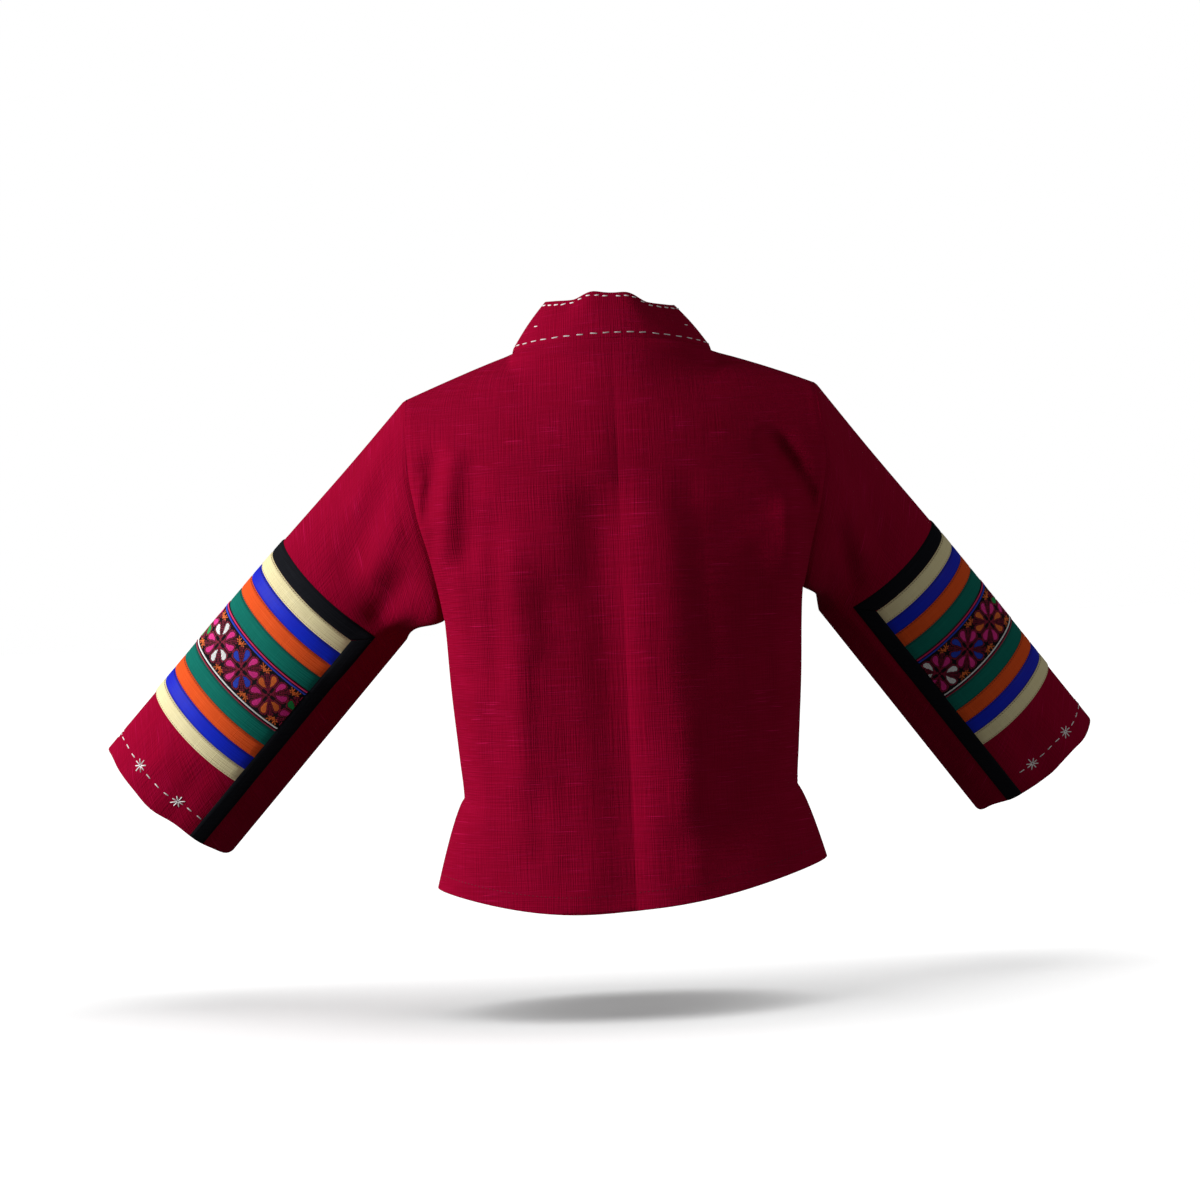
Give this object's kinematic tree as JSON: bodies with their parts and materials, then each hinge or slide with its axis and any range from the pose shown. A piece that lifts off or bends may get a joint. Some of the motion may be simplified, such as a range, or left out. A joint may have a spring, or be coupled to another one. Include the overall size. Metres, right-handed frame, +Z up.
{
  "type": "hmong embroidered jacket",
  "caption": "Short burgundy slub-cotton jacket in a hollow worn pose, with a low stand collar, straight sleeves, pieced colour strips and a flowered embroidered band on each arm.",
  "frame": {"origin": "middle of the neck opening, level with the shoulder-neck points, where the garment hangs from its wearer or hanger", "axes": "+Z up; the front faces -Y and the back +Y; +X is the wearer's left; the arms reach out along X and down"},
  "size_m": [1.0443, 0.3434, 0.6027],
  "materials": {
    "burgundy": "matt slub-woven cotton or linen, deep crimson burgundy",
    "black": "matt black plain cotton binding",
    "ground": "black evenweave ground, embroidered over in satin and cross stitch",
    "cream": "matt cream plain cotton",
    "blue": "royal blue satin with a violet sheen",
    "orange": "matt orange plain cotton",
    "green": "matt dark emerald plain cotton"
  },
  "bodies": {
    "root": {"back_left": "burgundy", "front_left": "burgundy", "sleeve_left": "burgundy", "collar_left": "burgundy", "border_top_left": "black", "border_back_left": "black", "border_front_left": "black", "cream_upper_left": "cream", "blue_upper_left": "blue", "orange_upper_left": "orange", "green_upper_left": "green", "embroidered_left": "ground", "green_lower_left": "green", "orange_lower_left": "orange", "blue_lower_left": "blue", "cream_lower_left": "cream", "back_right": "burgundy", "front_right": "burgundy", "sleeve_right": "burgundy", "collar_right": "burgundy", "border_top_right": "black", "border_back_right": "black", "border_front_right": "black", "cream_upper_right": "cream", "blue_upper_right": "blue", "orange_upper_right": "orange", "green_upper_right": "green", "embroidered_right": "ground", "green_lower_right": "green", "orange_lower_right": "orange", "blue_lower_right": "blue", "cream_lower_right": "cream"}
  },
  "joints": []
}
